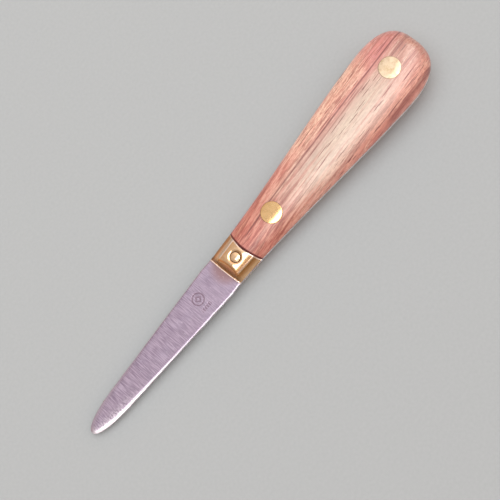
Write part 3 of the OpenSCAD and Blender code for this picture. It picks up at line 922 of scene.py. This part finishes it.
def head_rings(at, sign):
    """Rings of a flush head, from its middle to its seat."""
    proud = HEAD_PROUD if sign > 0 else -HEAD_SUNK
    outer = HEAD_R - HEAD_GAP

    def surface(drop):
        return lambda px, py: sign * (scale_height(px, py) + proud - drop)

    rings = [(r, surface(0.0)) for r in np.linspace(0, outer - HEAD_EDGE, 26)]
    for a in np.radians([20, 40, 60, 80]):
        drop = HEAD_EDGE * (1 - math.cos(a))
        rings.append((outer - HEAD_EDGE * (1 - math.sin(a)), surface(drop)))
    return rings + [(outer, sign * (grip_top(at) - HEAD_T))]


def build_rivet(name, at, female):
    """Head with a tube under it, or head with the shank that goes into that tube."""
    seat = grip_top(at) - HEAD_T
    if female:
        rings = head_rings(at, 1) + [(TUBE_R, seat), (TUBE_R, -seat), (SHANK_R, -seat),
                                     (SHANK_R, seat - TUBE_FLOOR), (0.0, seat - TUBE_FLOOR)]
    else:
        rings = head_rings(at, -1) + [(SHANK_R, -seat), (SHANK_R, seat - SHANK_END),
                                      (0.0, seat - SHANK_END)]
    return revolve(name, at, rings)


hand_over(build_blade(), "blade", STEEL)
hand_over(build_bolster("bolster_top_half", False), "bolster_upper", BRASS)
hand_over(build_bolster("bolster_under_half", True), "bolster_lower", BRASS)
hand_over(build_pin(), "bolster_pin", BRASS)
hand_over(build_scale("rosewood_scale_top", False), "scale_upper", WOOD)
hand_over(build_scale("rosewood_scale_under", True), "scale_lower", WOOD)
for end, at in RIVETS.items():
    look = RIVET if end == "front" else PATINA
    hand_over(build_rivet(end + "_rivet_tube_half", at, True), end + "_rivet_female", look)
    hand_over(build_rivet(end + "_rivet_shank_half", at, False), end + "_rivet_male", look)


# ---- Studio, in metres ------------------------------------------------------------------

def build_floor():
    """Plain pale floor."""
    half = 3.0
    corners = [(-half, -half, 0), (half, -half, 0), (half, half, 0), (-half, half, 0)]
    mesh = bpy.data.meshes.new("floor")
    mesh.from_pydata(corners, [], [(0, 1, 2, 3)])
    floor = bpy.data.objects.new("floor", mesh)
    bpy.context.scene.collection.objects.link(floor)
    t = new_material("pale_floor")
    grain = t.noise(t.coordinates["Object"], 900.0, 3.0)
    colour = t.mix(grain, (0.355, 0.38, 0.38, 1), (0.405, 0.43, 0.43, 1))
    mesh.materials.append(t.finish(Base_Color=colour, Roughness=0.9))


def softbox(name, centre, size, radiance, tint, seen):
    """Level area light facing down, of a given brightness. A seen one shows in reflections, the
    other kind only lights the surfaces."""
    lamp = bpy.data.lights.new(name, "AREA")
    lamp.shape, lamp.size, lamp.size_y = "RECTANGLE", size[0], size[1]
    lamp.energy, lamp.color = radiance * math.pi * size[0] * size[1], tint
    light = bpy.data.objects.new(name, lamp)
    light.location = centre
    light.visible_diffuse, light.visible_glossy = not seen, seen
    bpy.context.scene.collection.objects.link(light)


def build_world():
    """Soft studio: a pale dome that warms and dims towards the horizon, brighter past the butt,
    in the corner there away from the spine, and in a low strip on the spine side."""
    world = bpy.data.worlds.new("studio")
    bpy.context.scene.world = world
    t = Tree(world, "Background")
    x, y, z = t.split(t.coordinates["Generated"])
    ramp = t.add("ShaderNodeValToRGB")
    stops = [(0.0, (0.24, 0.14, 0.09)), (0.3, (0.38, 0.27, 0.20)),
             (0.6, (0.50, 0.44, 0.42)), (0.95, (0.70, 0.66, 0.695))]
    for position, _ in stops[1:-1]:
        ramp.color_ramp.elements.new(position)
    for element, (position, colour) in zip(ramp.color_ramp.elements, stops):
        element.position, element.color = position, (*colour, 1)
    t.links.new(z, ramp.inputs[0])
    low = t.math("SUBTRACT", 1.0, t.math("MULTIPLY", z, 2.5), clamp=True)
    strip = t.math("ADD", 0.45, t.math("MULTIPLY", low, 1.8))
    strip = t.math("MULTIPLY", t.math("MAXIMUM", y, 0.0), strip)
    past_butt = t.math("MAXIMUM", x, 0.0)
    off_spine = t.math("MAXIMUM", t.math("MULTIPLY", y, -1.0), 0.0)
    corner = t.math("MULTIPLY", t.math("MULTIPLY", past_butt, off_spine), 2.0)
    ends = t.math("ADD", t.math("MULTIPLY", past_butt, 1.8), corner)
    level = t.math("ADD", 1.0, t.math("ADD", strip, ends))
    t.finish(Color=ramp.outputs[0], Strength=level)


def build_camera():
    """Close view from above, a little aslant, the knife running up to the right."""
    lean_across, lean_along, roll = (math.radians(v) for v in (11.49, -1.64, 50.34))
    target, distance = np.array([85.07, -1.60, 0.0]), 279.6  # knife frame, millimetres
    back = np.array([-math.tan(lean_along), -math.tan(lean_across), 1.0])
    back /= np.linalg.norm(back)
    ex = np.array([1.0, 0, 0]) - back * back[0]
    ex /= np.linalg.norm(ex)
    ey = np.cross(back, ex)
    right = ex * math.cos(roll) - ey * math.sin(roll)
    up = ex * math.sin(roll) + ey * math.cos(roll)
    zero = place([0, 0, 0])
    axes = [place(v) - zero for v in (right, up, back)]
    lens = bpy.data.cameras.new("camera")
    lens.sensor_width, lens.lens = 36.0, 57.6
    lens.clip_start, lens.clip_end = 0.01, 20.0
    camera = bpy.data.objects.new("camera", lens)
    spot = place(target + back * distance)
    turn = Matrix([list(a / np.linalg.norm(a)) for a in axes]).transposed()
    camera.matrix_world = Matrix.Translation(Vector(spot)) @ turn.to_4x4()
    bpy.context.scene.collection.objects.link(camera)
    bpy.context.scene.camera = camera


build_floor()
build_world()
softbox("key", centre=(0.575, -0.250, 0.8), size=(1.85, 0.35), radiance=4.2,
        tint=(1.0, 0.99, 0.97), seen=True)
softbox("fill", centre=(0.0, 0.26, 1.0), size=(1.5, 1.1), radiance=1.76,
        tint=(0.96, 0.99, 1.0), seen=False)
build_camera()
bpy.context.scene.view_settings.view_transform = "Standard"
